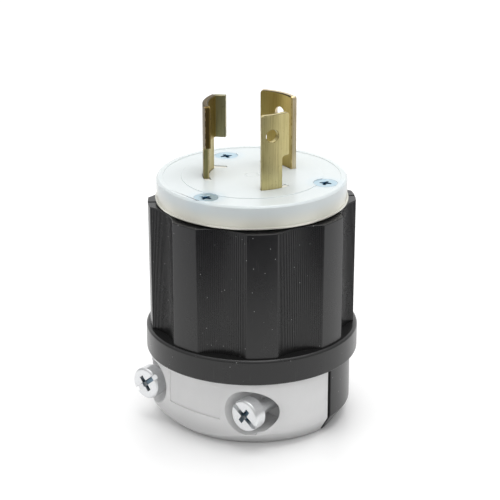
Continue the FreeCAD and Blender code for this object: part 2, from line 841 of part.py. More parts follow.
def cut_terminal(body, name):
    """The neck's slot, the pocket round the terminal and the wire's way in from below."""
    turn, base = BLADES[name][:2]
    neck = new_sketch(body, f"{name}_neck_outline", height=face_top)
    ring_sector(neck, blade_inner_radius - s.slot_play, s.blade_outer_radius + s.slot_play,
                turn - base / 2 - play_angle, base + 2 * play_angle)
    pocket(body, f"{name}_neck_slot", neck, face_top - terminal_roof + CUT_MARGIN)
    width = plate_width(base) + 2 * s.pocket_play
    inner = blade_inner_radius * cosine((base + s.tail_shoulder_span) / 2) - s.pocket_play
    length = retainer_radius + CUT_MARGIN - inner
    cut_box(body, f"{name}_pocket",
            placed_on_circle(turn, inner + length / 2, tail_bottom),
            (length, width, terminal_roof - tail_bottom), turn)
    entry = s.blade_outer_radius + s.wire_entry_setback
    cut_box(body, f"{name}_wire_entry",
            placed_on_circle(turn, entry + wire_entry_depth / 2, retainer_under - CUT_MARGIN),
            (wire_entry_depth, width - 2 * s.pocket_play,
             tail_bottom - retainer_under + 2 * CUT_MARGIN), turn)


# Fasteners, each drawn upright with its head at the top
def make_clamp_screw(name, back_off, slot_turn):
    """A cheese-head screw with a slot across a cross recess, backed out of its seat."""
    body = new_body(f"{name}_clamp_screw")
    add_cylinder(body, "head", s.screw_head_radius, s.screw_head_height, (0, 0, 0))
    dress(body, "Chamfer", "head_edge", s.screw_head_chamfer,
          lambda edge: is_circle_at(edge, s.screw_head_radius, s.screw_head_height))
    add_cylinder(body, "shank", s.screw_shank_radius, s.screw_length, (0, 0, -s.screw_length))
    slot_length = 2 * s.screw_head_radius + CUT_MARGIN
    for cut, length, depth, turn in (
        ("slot", slot_length, s.drive_slot_depth, slot_turn),
        ("cross_one", s.drive_cross_span, s.drive_cross_depth, slot_turn),
        ("cross_two", s.drive_cross_span, s.drive_cross_depth, slot_turn + 90),
    ):
        bottom = s.screw_head_height - depth
        cut_box(body, cut, (0, 0, bottom), (length, s.drive_slot_width, depth + CUT_MARGIN), turn)
    head_back = -s.seat_face - s.clamp_gap - back_off
    place(body, CLAMP_SIDES[name] * screw_half, head_back, s.screw_height, along=TOWARDS["-y"])
    return body


def make_clamp_nut(name):
    body = new_body(f"{name}_clamp_nut")
    x = CLAMP_SIDES[name] * screw_half
    centre = (x, nut_middle, s.screw_height - s.nut_width / 2)
    box_at(body, "AdditiveBox", "nut", centre, (s.nut_width, s.nut_thickness, s.nut_width))
    hole = s.screw_shank_radius + s.thread_play
    cut_cylinder(body, "thread", hole, s.screw_bore_depth, (x, 0, s.screw_height), "y")
    return body


def make_assembly_screw(name):
    """A long flat-head screw with a cross recess, from the face down into its insert."""
    turn, circle = FACE_SCREWS[name]
    body = new_body(f"{name}_assembly_screw")
    shank = s.face_screw_radius
    revolve(body, "screw", [
        (0, -s.face_screw_length),
        (shank, -s.face_screw_length),
        (shank, -s.face_screw_head_height),
        (s.face_screw_head, -s.face_screw_head_rim),
        (s.face_screw_head, 0),
        (0, 0),
    ])
    for cut, angle in (("cross_one", turn), ("cross_two", turn + 90)):
        cut_box(body, cut, (0, 0, -s.face_drive_depth),
                (s.face_drive_span, s.face_drive_width, s.face_drive_depth + CUT_MARGIN), angle)
    place(body, *placed_on_circle(turn, circle, face_seat))
    return body


def make_insert(name):
    """The threaded sleeve in the top of a boss."""
    turn, circle = FACE_SCREWS[name]
    body = new_body(f"{name}_insert")
    add_cylinder(body, "sleeve", s.insert_radius - s.thread_play, s.insert_length, (0, 0, 0))
    cut_cylinder(body, "thread", s.face_screw_radius + s.thread_play,
                 s.insert_length + 2 * CUT_MARGIN, (0, 0, -CUT_MARGIN))
    place(body, *placed_on_circle(turn, circle, insert_bottom))
    return body


def make_all():
    pieces = [make_shell(), make_clamp_jaw(), make_face_plate(), make_blade_retainer()]
    for name in BLADES:
        pieces += [make_blade(name), make_pressure_plate(name), make_terminal_screw(name)]
    pieces.append(make_clamp_screw("left", s.left_screw_back_off, s.left_slot_turn))
    pieces.append(make_clamp_screw("right", s.right_screw_back_off, s.right_slot_turn))
    pieces += [make_clamp_nut(name) for name in CLAMP_SIDES]
    for name in FACE_SCREWS:
        pieces += [make_assembly_screw(name), make_insert(name)]
    return pieces


def check(pieces):
    """Every object is worked out, and every piece is one sound solid."""
    doc.recompute()
    for thing in doc.Objects:
        if "Invalid" in thing.State or "Error" in thing.State:
            raise RuntimeError(f"{thing.Name} could not be worked out: {thing.State}")
    for piece in pieces:
        shape = piece.Shape
        if shape.isNull() or not shape.isValid() or len(shape.Solids) != 1:
            raise RuntimeError(f"{piece.Label} isn't one sound solid")


def export(pieces):
    os.makedirs("parts", exist_ok=True)
    for piece in pieces:
        piece.Shape.exportStep(f"parts/{piece.Label}.step")
        box = piece.Shape.BoundBox
        print(f"{piece.Label:24} {piece.Shape.Volume:9.1f} mm3, {box.ZMin:5.1f} to {box.ZMax:5.1f}")


all_pieces = make_all()
check(all_pieces)
export(all_pieces)
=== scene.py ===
# %% [markdown]
# A locking power plug stands on its cord clamp, with its three curved blades up.
# The packed CAD model gives the frame: every piece here is in metres, in the same place as there.
# This script dresses that frame. It models what the eye sees up close, such as the ribs in the
# flutes and the screws' threads, and gives every surface a finish of its own.

# %% Load the frame
import json
import math

import bmesh
import bpy
from mathutils import Matrix, Vector


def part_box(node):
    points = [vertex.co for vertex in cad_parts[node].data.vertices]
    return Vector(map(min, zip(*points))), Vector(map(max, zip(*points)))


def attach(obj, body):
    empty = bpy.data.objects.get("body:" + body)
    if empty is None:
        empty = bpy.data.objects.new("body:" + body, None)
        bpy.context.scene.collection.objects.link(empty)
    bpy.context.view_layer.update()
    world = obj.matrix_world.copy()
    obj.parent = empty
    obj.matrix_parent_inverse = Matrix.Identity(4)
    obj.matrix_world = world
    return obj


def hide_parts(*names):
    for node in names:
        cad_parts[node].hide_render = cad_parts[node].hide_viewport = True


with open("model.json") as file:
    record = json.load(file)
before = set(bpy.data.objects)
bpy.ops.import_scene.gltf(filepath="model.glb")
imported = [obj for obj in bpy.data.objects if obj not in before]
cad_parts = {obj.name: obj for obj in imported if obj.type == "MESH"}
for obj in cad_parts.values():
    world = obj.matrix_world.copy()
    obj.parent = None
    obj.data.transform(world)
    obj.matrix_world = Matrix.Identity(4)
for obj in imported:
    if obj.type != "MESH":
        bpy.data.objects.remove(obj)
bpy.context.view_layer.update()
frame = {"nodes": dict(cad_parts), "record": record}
MM = 0.001

# %% [markdown]
# Several finishes follow the screws: a tint round each one in the face, and a darker recess in
# every head. The frame's boxes say where the screws are, so no place is written down twice.

# %% Where the screws are
CLAMP_SCREWS = ("left", "right")
FACE_SCREWS = [f"{name}_assembly_screw" for name in ("rear", "right", "front")]
FACE_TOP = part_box("face_plate")[1].z


def middle(node):
    low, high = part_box(node)
    return (low + high) / 2


CLAMP_MIDDLES = {name: middle(f"{name}_clamp_screw") for name in CLAMP_SCREWS}


def on_clamp_axis(name, depth):
    """The spot on a clamp screw's axis at this depth, which is measured along Y."""
    return Vector((CLAMP_MIDDLES[name].x, depth, CLAMP_MIDDLES[name].z))


def head_front(name):
    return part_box(f"{name}_clamp_screw")[0].y


SCREW_TOPS = [Vector((*middle(node).xy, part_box(node)[1].z)) for node in FACE_SCREWS]
print("face screws, mm:", [tuple(round(x / MM, 1) for x in spot) for spot in SCREW_TOPS])

# %% [markdown]
# A photograph is matched first by its camera. This one was worked out from the ellipse of the face,
# the flange and the feet of the blades: a long lens, a little over half a metre away and 19 degrees
# above the face. The camera looks lower than the face, so that the whole plug is in the picture.

# %% Camera
CAMERA_DISTANCE = 570 * MM
CAMERA_TURN = math.radians(39.41)
CAMERA_RISE = math.radians(18.73)
CAMERA_TILT = math.radians(20.99)
VIEW_TURN = math.radians(39.35)
LENS = 137.7
NEAR_CLIP = 0.01


def make_camera():
    """The photograph's camera, aimed by its heading and its tilt."""
    lens = bpy.data.cameras.new("camera")
    lens.lens = LENS
    lens.clip_start = NEAR_CLIP
    camera = bpy.data.objects.new("camera", lens)
    level = CAMERA_DISTANCE * math.cos(CAMERA_RISE)
    height = FACE_TOP + CAMERA_DISTANCE * math.sin(CAMERA_RISE)
    camera.location = (level * math.sin(VIEW_TURN), -level * math.cos(VIEW_TURN), height)
    camera.rotation_euler = (math.pi / 2 - CAMERA_TILT, 0, CAMERA_TURN)
    bpy.context.scene.collection.objects.link(camera)
    bpy.context.scene.camera = camera
    return camera


print("camera at", tuple(round(x, 4) for x in make_camera().location))

# %% [markdown]
# A finish is a recipe of shader nodes. Wiring them one by one hides the idea, so a small class
# wraps a socket and takes part in sums: each sum adds its own Math node, and the recipe reads like
# the formula that it is.

# %% Values that take part in sums
class Value:
    """A shader socket that takes part in sums, so that a pattern reads like a formula."""

    def __init__(self, finish, socket):
        self.finish = finish
        self.socket = socket

    def maths(self, operation, other):
        return self.finish.node("Math", {0: self, 1: other}, operation=operation)

    def __add__(self, other):
        return self.maths("ADD", other)

    def __sub__(self, other):
        return self.maths("SUBTRACT", other)

    def __rsub__(self, other):
        return self.finish.node("Math", {0: other, 1: self}, operation="SUBTRACT")

    def __mul__(self, other):
        return self.maths("MULTIPLY", other)

    __radd__ = __add__
    __rmul__ = __mul__

    def between(self, low, high):
        """0 below the low number, 1 above the high one, and a smooth step from one to the other."""
        return self.finish.node("MapRange", {"Value": self, "From Min": low, "From Max": high},
                                interpolation_type="SMOOTHSTEP")


print("a Value knows", ", ".join(name for name in vars(Value) if name.isalpha()))

# %% [markdown]
# A second class is the material itself. One method adds any node, and short ones on top of it give
# the patterns that several finishes share: blotches, specks, a height and a distance. These read
# Object coordinates, which are metres here, so a pattern's size is the size on the real plug.

# %% Finishes made of nodes
class Finish:
    """A material that is being made: its nodes, and the shader that they end in."""

    def __init__(self, name, **constants):
        self.material = bpy.data.materials.new(name)
        self.material.use_nodes = True
        self.tree = self.material.node_tree
        self.shader = self.tree.nodes["Principled BSDF"]
        for socket, amount in constants.items():
            self.shader.inputs[socket.replace("_", " ")].default_value = amount

    def node(self, kind, inputs=None, output=0, **settings):
        made = self.tree.nodes.new("ShaderNode" + kind)
        for name, setting in settings.items():
            setattr(made, name, setting)
        for name, amount in (inputs or {}).items():
            if isinstance(amount, Value):
                self.tree.links.new(amount.socket, made.inputs[name])
            else:
                made.inputs[name].default_value = amount
        return Value(self, made.outputs[output])

    def feed(self, socket, value):
        self.tree.links.new(value.socket, self.shader.inputs[socket])

    def place(self, turn=(0, 0, 0), stretch=(1, 1, 1)):
        """The point on the object in metres, turned and stretched if a pattern needs it."""
        point = self.node("TexCoord", output="Object")
        if turn == (0, 0, 0) and stretch == (1, 1, 1):
            return point
        return self.node("Mapping", {"Vector": point, "Rotation": turn, "Scale": stretch})

    def height(self):
        return self.node("SeparateXYZ", {0: self.place()}, output="Z")

    def noise(self, size, detail=3, **placing):
        """Soft blotches, from 0 to 1, of about this size."""
        inputs = {"Vector": self.place(**placing), "Scale": 1 / size, "Detail": detail}
        return self.node("TexNoise", inputs)

    def specks(self, spacing, radius, share):
        """Sparse round specks: the cores of some of the cells that fill the space."""
        inputs = {"Vector": self.place(), "Scale": 1 / spacing}
        core = self.node("TexVoronoi", inputs, output="Distance")
        chance = self.node("SeparateColor", {0: self.node("TexVoronoi", inputs, output="Color")})
        chosen = chance.between(1 - share - 0.01, 1 - share)
        return (1 - core.between(radius / spacing * 0.6, radius / spacing)) * chosen

    def away(self, point):
        """How far the surface is from a point, in metres."""
        return self.node("VectorMath", {0: self.place(), 1: tuple(point)}, output="Value",
                         operation="DISTANCE")

    def mark(self, name):
        """What the faces were marked with when they were modelled, from 0 to 1."""
        return self.node("Attribute", output="Fac", attribute_name=name)

    def mix(self, factor, first, second):
        """A colour between two others."""
        pair = [colour if isinstance(colour, Value) else (*colour, 1) for colour in (first, second)]
        return self.node("Mix", {0: factor, 6: pair[0], 7: pair[1]}, output=2, data_type="RGBA")

    def bump(self, height, distance):
        self.feed("Normal", self.node("Bump", {"Height": height, "Distance": distance}))


finishes = {}


def keep(slot, material):
    """Keeps a finished material under its slot's name."""
    finishes[slot] = material
    print(f"{slot}: {len(material.node_tree.nodes)} nodes")


print("a Finish knows", ", ".join(name for name in vars(Finish) if name.isalpha()))

# %% [markdown]
# The barrel is moulded black nylon. It is nearly black with a satin skin, so its greys are
# reflections, and small swings of roughness decide how it looks. Its colour is painted a little
# lighter low down than at the rim, a painted reflection of the white floor close by. Dust and a few
# scuffs show on black, so both are there: the cores of cells in space give specks that no texture
# has to be painted for.

# %% Black nylon
def black_nylon():
    finish = Finish("black_nylon", IOR=1.5)
    cloud = finish.noise(9 * MM)
    grain = finish.noise(0.3 * MM, detail=2)
    dust = finish.specks(1.9 * MM, 0.15 * MM, 0.6)
    scuff = finish.noise(1.0 * MM, detail=1, turn=(0.5, 0.3, 0), stretch=(6, 6, 0.12))
    scuff = scuff.between(0.73, 0.8)
    # Painted reflection: the colour is lighter low down, where the white floor is mirrored.
    low = 1 - finish.height().between(36 * MM, 66 * MM)
    shade = finish.mix(low, (0.004, 0.004, 0.0055), (0.0125, 0.0125, 0.0125))
    shade = finish.mix(cloud * 0.3, shade, (0.014, 0.0135, 0.0145))
    marked = finish.mix(scuff * 0.12, shade, (0.3, 0.3, 0.3))
    finish.feed("Base Color", finish.mix(dust * 0.8, marked, (0.5, 0.5, 0.5)))
    finish.feed("Roughness", 0.2 + 0.1 * cloud + 0.08 * grain + 0.4 * dust)
    finish.bump(grain, 0.006 * MM)
    return finish.material


keep("black_nylon", black_nylon())

# %% [markdown]
# The face is white nylon that lets some light through: light goes in, spreads a few millimetres
# and comes out again, which subsurface scattering does. It looks bluish on top and creamy low on
# its side, with a faint blue round the three screws. A shallow ring marks its centre.

# %% White nylon
def white_nylon():
    finish = Finish("white_nylon", Subsurface_Weight=0.35, Subsurface_Scale=2.5 * MM,
                    Subsurface_Radius=(1, 1, 1), IOR=1.53)
    cloud = finish.noise(7 * MM)
    high = finish.height().between(FACE_TOP - 6.5 * MM, FACE_TOP - 1.5 * MM)
    colour = finish.mix(high, (0.76, 0.75, 0.66), (0.64, 0.69, 0.7))
    for spot in SCREW_TOPS:
        near = 1 - finish.away(spot).between(3.4 * MM, 7 * MM)
        colour = finish.mix(near * 0.2, colour, (0.4, 0.62, 0.78))
    finish.feed("Base Color", finish.mix(cloud * 0.15, colour, (0.86, 0.86, 0.83)))
    finish.feed("Roughness", 0.16 + 0.14 * cloud)
    out = finish.away((0, 0, FACE_TOP))
    ring = out.between(1.7 * MM, 2.0 * MM) * (1 - out.between(2.2 * MM, 2.5 * MM))
    finish.bump(finish.noise(1.6 * MM) * 0.1 - ring, 0.12 * MM)
    return finish.material


keep("white_nylon", white_nylon())

# %% [markdown]
# The jaw is a pale grey plastic that scatters light too, with small clouds in it, and its skin is
# less polished than the face. The seats of its screws look bright in the photograph, probably from
# light that comes through the plastic. Here their colour is simply lighter, which an export can
# keep. The block that shows in the blade slots is the same sort of plastic, in cream.

# %% Pale plastics
SEAT_DEPTH = -22 * MM


def pale_grey_plastic():
    finish = Finish("pale_grey_plastic", Subsurface_Weight=0.5, Subsurface_Scale=4 * MM,
                    Subsurface_Radius=(1, 1, 1), IOR=1.5)
    cloud = finish.noise(8 * MM)
    colour = finish.mix(cloud, (0.76, 0.76, 0.76), (0.85, 0.85, 0.85))
    # Painted shadow: the colour is painted darker towards the foot, in place of the shadow at the
    # floor.
    high = finish.height().between(1 * MM, 9 * MM)
    colour = finish.mix(high, (0.58, 0.58, 0.58), colour)
    for name in CLAMP_SCREWS:
        seat = 1 - finish.away(on_clamp_axis(name, SEAT_DEPTH)).between(5 * MM, 8.5 * MM)
        colour = finish.mix(seat, colour, (0.97, 0.97, 0.97))
    finish.feed("Base Color", colour)
    finish.feed("Roughness", 0.3 + 0.15 * cloud)
    finish.bump(finish.noise(0.5 * MM), 0.006 * MM)
    return finish.material


def cream_nylon():
    finish = Finish("cream_nylon", Subsurface_Weight=0.3, Subsurface_Scale=2 * MM,
                    Subsurface_Radius=(1, 1, 1))
    cloud = finish.noise(5 * MM)
    finish.feed("Base Color", finish.mix(cloud, (0.7, 0.68, 0.6), (0.78, 0.77, 0.7)))
    finish.feed("Roughness", 0.35 + 0.2 * cloud)
    return finish.material


keep("pale_grey_plastic", pale_grey_plastic())
keep("cream_nylon", cream_nylon())

# %% [markdown]
# The blades are stamped from brass sheet, which dulls to olive and brown. Their edges rub in the
# outlet and wear in patches, and their tips are coined. Which faces are worn or coined is known
# when they are modelled, so they are marked there, and here the marks pick the colours. The
# photographed blades differ: the ground blade's head is darker than its neck, and the inner sides
# have a brown of their own.

# %% Brass
NOTCH_BLEND = (85.2 * MM, 85.8 * MM)
INNER_BLEND = (13.0 * MM, 13.5 * MM)
DARK_COINED_BAND = (0.07, 0.055, 0.025)
PATINA = (0.4, 0.4, 0.25)


def brass(name, clean, dull, stain, edge=(0.5, 0.42, 0.24), inner=None, neck=None,
          neck_inner=None):
    finish = Finish(name, Metallic=1.0)
    cloud = finish.noise(7 * MM, detail=5, stretch=(1, 1, 0.5)).between(0.3, 0.7)
    blot = finish.noise(0.7 * MM, detail=4).between(0.6, 0.8)
    grain = finish.noise(0.25 * MM, detail=2, stretch=(1, 1, 0.15))
    streak = finish.noise(0.35 * MM, detail=4, stretch=(1, 1, 0.04)).between(0.45, 0.75)
    patch = finish.noise(1.4 * MM).between(0.45, 0.6)
    colour = finish.mix(cloud, clean, dull)
    if neck:
        above_notch = finish.height().between(*NOTCH_BLEND)
        colour = finish.mix(above_notch, neck, colour)
        inner = finish.mix(above_notch, neck_inner, inner)
    if inner:
        out = finish.node("VectorMath", {0: finish.place(stretch=(1, 1, 0))}, output="Value",
                          operation="LENGTH")
        colour = finish.mix(out.between(*INNER_BLEND), inner, colour)
    colour = finish.mix(finish.mark("patina"), colour, PATINA)
    colour = finish.mix(blot * 0.45 + streak * 0.35, colour, stain)
    # The coined faces are coloured nearly black, a dark band along each tip.
    colour = finish.mix(finish.mark("coined"), colour, DARK_COINED_BAND)
    rubbed = finish.mix(patch, edge, stain)
    finish.feed("Base Color", finish.mix(finish.mark("wear") * 0.85, colour, rubbed))
    finish.feed("Roughness", 0.34 + 0.06 * cloud + 0.12 * blot + 0.06 * grain)
    finish.bump(grain, 0.003 * MM)
    return finish.material


keep("wide_brass", brass(
    "wide_brass", (0.7, 0.6, 0.42), (0.6, 0.51, 0.34), (0.3, 0.2, 0.07),
    edge=(0.6, 0.49, 0.27), inner=(0.5, 0.39, 0.13)))
keep("narrow_brass", brass(
    "narrow_brass", (0.68, 0.6, 0.31), (0.58, 0.51, 0.24), (0.25, 0.17, 0.05),
    edge=(0.42, 0.35, 0.17), inner=(0.5, 0.39, 0.13)))
keep("ground_brass", brass(
    "ground_brass", (0.13, 0.085, 0.03), (0.1, 0.07, 0.022), (0.05, 0.03, 0.01),
    edge=(0.42, 0.3, 0.15), inner=(0.4, 0.29, 0.09), neck=(0.24, 0.22, 0.1),
    neck_inner=(0.64, 0.55, 0.3)))
keep("terminal_brass", brass(
    "terminal_brass", (0.7, 0.58, 0.32), (0.6, 0.48, 0.25), (0.45, 0.34, 0.16)))
keep("insert_brass", brass(
    "insert_brass", (0.72, 0.6, 0.34), (0.62, 0.5, 0.28), (0.5, 0.38, 0.2)))
finishes["blade_brass"] = finishes["narrow_brass"]

# %% [markdown]
# Zinc plating is a bright grey metal with a fine crystal grain. In the photograph the face's screws
# are bluish all over, the clamp's only in their recesses, and every recess is darker. The colour
# follows the distance from each recess, so one recipe serves any screw. The ground terminal's screw
# is dyed green, as it is on such plugs, so it has its own finish.

# %% Plated and dyed screws
CLAMP_RECESS_DEPTH = 2.2 * MM
FACE_RECESS = Vector((0, 0, -1.2 * MM))


def zinc(name, recesses, reach, recess_shade_and_blue, plain, bright):
    finish = Finish(name, Metallic=1.0)
    grain = finish.noise(0.3 * MM)
    cloud = finish.noise(2.5 * MM)
    colour = finish.mix(grain, plain, bright)
    # Painted shade: each recess is painted darker, where little light reaches, and it is bluer
    # there too.
    for spot in recesses:
        deep = 1 - finish.away(spot).between(reach * 0.7, reach)
        colour = finish.mix(deep, colour, recess_shade_and_blue)
    finish.feed("Base Color", colour)
    finish.feed("Roughness", 0.22 + 0.2 * grain + 0.1 * cloud)
    finish.bump(grain, 0.01 * MM)
    return finish.material


def green_dye():
    finish = Finish("ground_screw_green", Metallic=0.6, Roughness=0.35)
    shade = finish.noise(1.5 * MM)
    finish.feed("Base Color", finish.mix(shade, (0.03, 0.2, 0.07), (0.1, 0.38, 0.16)))
    return finish.material


clamp_recesses = [on_clamp_axis(name, head_front(name) + CLAMP_RECESS_DEPTH)
                  for name in CLAMP_SCREWS]
face_recesses = [spot + FACE_RECESS for spot in SCREW_TOPS]
keep("zinc_steel", zinc("zinc_steel", clamp_recesses, 2.5 * MM, (0.2, 0.27, 0.33),
                        plain=(0.68, 0.69, 0.7), bright=(0.9, 0.91, 0.92)))
keep("face_screw", zinc("face_screw", face_recesses, 2.0 * MM, (0.07, 0.19, 0.32),
                        plain=(0.42, 0.58, 0.68), bright=(0.62, 0.76, 0.83)))
keep("ground_screw_green", green_dye())

# %% [markdown]
# Every CAD node takes the finish that its record names, before any of them is replaced. The nodes
# that nothing replaces, such as the terminals, keep that finish.

# %% Give the nodes their finishes
slot_of = {part["node"]: part["material_slot"] for part in frame["record"]["subparts"]}
for node, slot in slot_of.items():
    mesh = frame["nodes"][node].data
    mesh.materials.clear()
    mesh.materials.append(finishes[slot])
print("slots in use:", ", ".join(sorted(set(slot_of.values()))))

# %% [markdown]
# The shell is one moulding, fluted and flanged, and its outline is right in the CAD already. So it
# is copied from there. A CAD node's mesh is loose triangles: the copy's corners are merged, and
# triangles that lie flat side by side become one face, so that its real edges can be found.

# %% Copy the shell
def cad_copy(node):
    """The node's mesh as a new bmesh, its loose triangles merged and its flat faces made whole."""
    bm = bmesh.new()
    bm.from_mesh(frame["nodes"][node].data)
    bmesh.ops.remove_doubles(bm, verts=bm.verts, dist=0.001 * MM)
    bmesh.ops.dissolve_limit(bm, angle_limit=math.radians(0.4), verts=bm.verts, edges=bm.edges)
    return bm


shell = cad_copy("shell")
print("the shell's copy has", len(shell.faces), "faces")

# %% [markdown]
# No edge of a moulding is sharp. A rounding of a fifth of a millimetre catches the light: it draws
# the bright lines down the lands and round the flange. A bevel along the edges does it. The edges
# deep inside stay as they are, because nobody sees them.

# %% Round the shell's edges
FLANGE_TOP = 29.5 * MM
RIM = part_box("shell")[1].z
BORE = 26.0 * MM
CLAMP_BACK = 15 * MM


def corners(bm, least=28, wanted=lambda spot: True):
    """The convex edges where two faces meet at more than this angle."""
    bm.normal_update()
    found = []
    for edge in bm.edges:
        if len(edge.link_faces) != 2 or not edge.is_convex:
            continue
        if edge.calc_face_angle(0) > math.radians(least):
            if wanted((edge.verts[0].co + edge.verts[1].co) / 2):
                found.append(edge)
    return found


def bevel(bm, edges, width, segments, mark):
    """Bevels these edges, and marks the new faces."""
    layer = bm.faces.layers.float.get(mark) or bm.faces.layers.float.new(mark)
    made = bmesh.ops.bevel(bm, geom=edges, offset=width, segments=segments, profile=0.5,
                           affect="EDGES", material=-1, loop_slide=False)
    for face in made["faces"]:
        face[layer] = 1.0


def round_edges(bm, edges, width, segments=2):
    bevel(bm, edges, width, segments, "wear")


def outside(spot):
    """Whether a spot is on the shell's outer side, or at its rim."""
    on_clamp = spot.y > CLAMP_BACK and spot.z < FLANGE_TOP
    return spot.xy.length > BORE - 0.1 * MM or spot.z > RIM - 0.1 * MM or on_clamp


round_edges(shell, corners(shell, wanted=outside), 0.22 * MM)
print("rounded, it has", len(shell.faces), "faces")

# %% [markdown]
# Each new piece ends the same way. It is shaded smooth except across real corners, its large faces
# are kept flat by weighted normals, it is attached to what it rides on, and its nodes are hidden.

# %% End a piece
def new_object(name, bm):
    mesh = bpy.data.meshes.new(name)
    bm.to_mesh(mesh)
    bm.free()
    made = bpy.data.objects.new(name, mesh)
    bpy.context.scene.collection.objects.link(made)
    return made


def finish_piece(name, bm, slot, body="plug", nodes=(), angle=35, finish=None):
    """The bmesh as a piece of the plug, in its slot's finish unless it has one of its own."""
    piece = new_object(name, bm)
    mesh = piece.data
    mesh.polygons.foreach_set("use_smooth", [True] * len(mesh.polygons))
    mesh.set_sharp_from_angle(angle=math.radians(angle))
    mesh.materials.append(finishes[finish or slot])
    normals = piece.modifiers.new("flat_faces_stay_flat", "WEIGHTED_NORMAL")
    normals.keep_sharp = True
    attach(piece, body)
    if nodes:
        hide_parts(*nodes)
    print(f"{name}: {len(mesh.polygons)} faces")


finish_piece("shell_skin", shell, "black_nylon", nodes=["shell"])

# %% [markdown]
# Two dozen fine ribs run down each hollow flute, for grip. They are about as wide as a pixel in the
# photograph's view, so they could be a bump, but the flutes' edge at the rim and the light along
# them only look right as geometry. A rib is a cube, drawn out and narrowed at its crest, so all of
# them are cheap. One flute's ribs are made, and then turned to the other seven.

# %% Ribs in the flutes
FLUTES = 8
FLUTE_RADIUS = 16.6 * MM
FLUTE_CIRCLE = 44.9 * MM
FIRST_FLUTE = math.radians(22.5)
RIBS = 24
RIB_PITCH = math.radians(2.2)
RIB_DEPTH = 0.34 * MM
RIB_WIDTH = 0.38 * MM
CREST_SHARE = 0.45
RIB_SINK = 0.02 * MM
RIB_STOP = 0.35 * MM


def rib_mesh():
    ribs = bmesh.new()
    height = RIM - FLANGE_TOP - RIB_STOP
    for k in range(RIBS):
        turn = (k - (RIBS - 1) / 2) * RIB_PITCH
        rib = bmesh.ops.create_cube(ribs, size=1.0)["verts"]
        bmesh.ops.scale(ribs, verts=rib, vec=(RIB_DEPTH, RIB_WIDTH, height))
        crest = [vert for vert in rib if vert.co.x > 0]
        bmesh.ops.scale(ribs, verts=crest, vec=(1, CREST_SHARE, 1))
        at_flute = (Matrix.Translation((FLUTE_CIRCLE, 0, FLANGE_TOP + height / 2))
                    @ Matrix.Rotation(turn, 4, "Z")
                    @ Matrix.Translation((-FLUTE_RADIUS - RIB_SINK, 0, 0)))
        bmesh.ops.transform(ribs, matrix=at_flute, verts=rib)
    first = Matrix.Rotation(FIRST_FLUTE, 4, "Z")
    bmesh.ops.transform(ribs, matrix=first, verts=ribs.verts)
    one_flute = ribs.verts[:] + ribs.edges[:] + ribs.faces[:]
    for copy in range(1, FLUTES):
        flute = bmesh.ops.duplicate(ribs, geom=one_flute)
        verts = [part for part in flute["geom"] if isinstance(part, bmesh.types.BMVert)]
        turn = Matrix.Rotation(copy * math.tau / FLUTES, 3, "Z")
        bmesh.ops.rotate(ribs, verts=verts, matrix=turn)
    return ribs


finish_piece("flute_ribs", rib_mesh(), "black_nylon")

# %% [markdown]
# The jaw's shoulder is rounded broadly, and its other outer edges about as finely as the shell's.
# The shoulder's rounding ends before the jaw meets the shell, because it would touch the shell when
# the jaw is pushed in. The mouths of the screw seats stay as the CAD has them: their edges are so
# finely divided that a bevel breaks up there.

# %% Jaw
SHOULDER = 5.2 * MM
SHOULDER_END = -8 * MM
CORD_REACH = 15.5 * MM
SEAT_REACH = 8.4 * MM


def on_shoulder(spot):
    return abs(spot.z - SHOULDER) < 0.01 * MM and spot.y < SHOULDER_END


def clear_of_cord_and_seats(spot):
    """Whether a spot is outside the cord's channel and clear of both screw seats."""
    gaps = [(spot - on_clamp_axis(name, spot.y)).length for name in CLAMP_SCREWS]
    return spot.xy.length > CORD_REACH and min(gaps) > SEAT_REACH


jaw = cad_copy("clamp_jaw")
round_edges(jaw, corners(jaw, 20, on_shoulder), 0.9 * MM, segments=4)
round_edges(jaw, corners(jaw, 35, clear_of_cord_and_seats), 0.25 * MM)
finish_piece("jaw_skin", jaw, "pale_grey_plastic", body="jaw", nodes=["clamp_jaw"], angle=18)

# %% [markdown]
# The face is turned, slotted and sunk in the CAD, so it is copied too. Its rim, its groove and its
# slots get a tiny rounding, because a knife edge of white plastic never survives the mould. The
# screws' sinks stay sharp: the heads fill them.

# %% Face plate
SINK_REACH = 4 * MM


def clear_of_sinks(spot):
    return all((spot - top).xy.length > SINK_REACH for top in SCREW_TOPS)


face = cad_copy("face_plate")
round_edges(face, corners(face, wanted=clear_of_sinks), 0.12 * MM)
finish_piece("face_disc", face, "white_nylon", nodes=["face_plate"])

# %% [markdown]
# A blade starts as flat sheet. The press punches its outline and its holes, coins its tip, and
# rolls it round the plug's axis. The pieces are made in the same order. Here are the sizes that
# they share: an angle about the axis becomes a length along the flat strip, so a blade's outline is
# written as degrees across and a height up.

# %% Sizes of the blades
BLADE_OUTER = 14.6 * MM
BLADE_SHEET = 1.7 * MM
BLADE_MIDDLE = BLADE_OUTER - BLADE_SHEET / 2
BLADE_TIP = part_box("ground_blade")[1].z
BLADE_NOTCH = 85.4 * MM
TAIL_BOTTOM = 49.5 * MM
TAIL_TOP = 61.0 * MM
TAIL_MARGIN = 4
BLADES = {
    "wide": {"turn": 86.5, "base": 46.0, "lug": 8.5, "heel": 0.0, "hole": 2.9},
    "narrow": {"turn": -26.45, "base": 26.5, "lug": 10.6, "heel": 0.0, "hole": 0.0},
    "ground": {"turn": 211.25, "base": 41.5, "lug": 8.3, "heel": 10.0, "hole": 0.0},
}


def along(degrees):
    """How far along the flat strip an angle about the plug's axis lies."""
    return math.radians(degrees) * BLADE_MIDDLE


def at_tip(spot):
    return abs(spot.z - BLADE_TIP) < 0.01 * MM


for name, shape in BLADES.items():
    print(f"{name}: {along(shape['base'] + shape['lug']) / MM:.1f} mm wide while it is flat")

# %% [markdown]
# The blank is filled flat around its two holes. The corners of the tip, and the one in the lug's
# notch, are rounded while it is flat: on a curved blade that would be much harder.

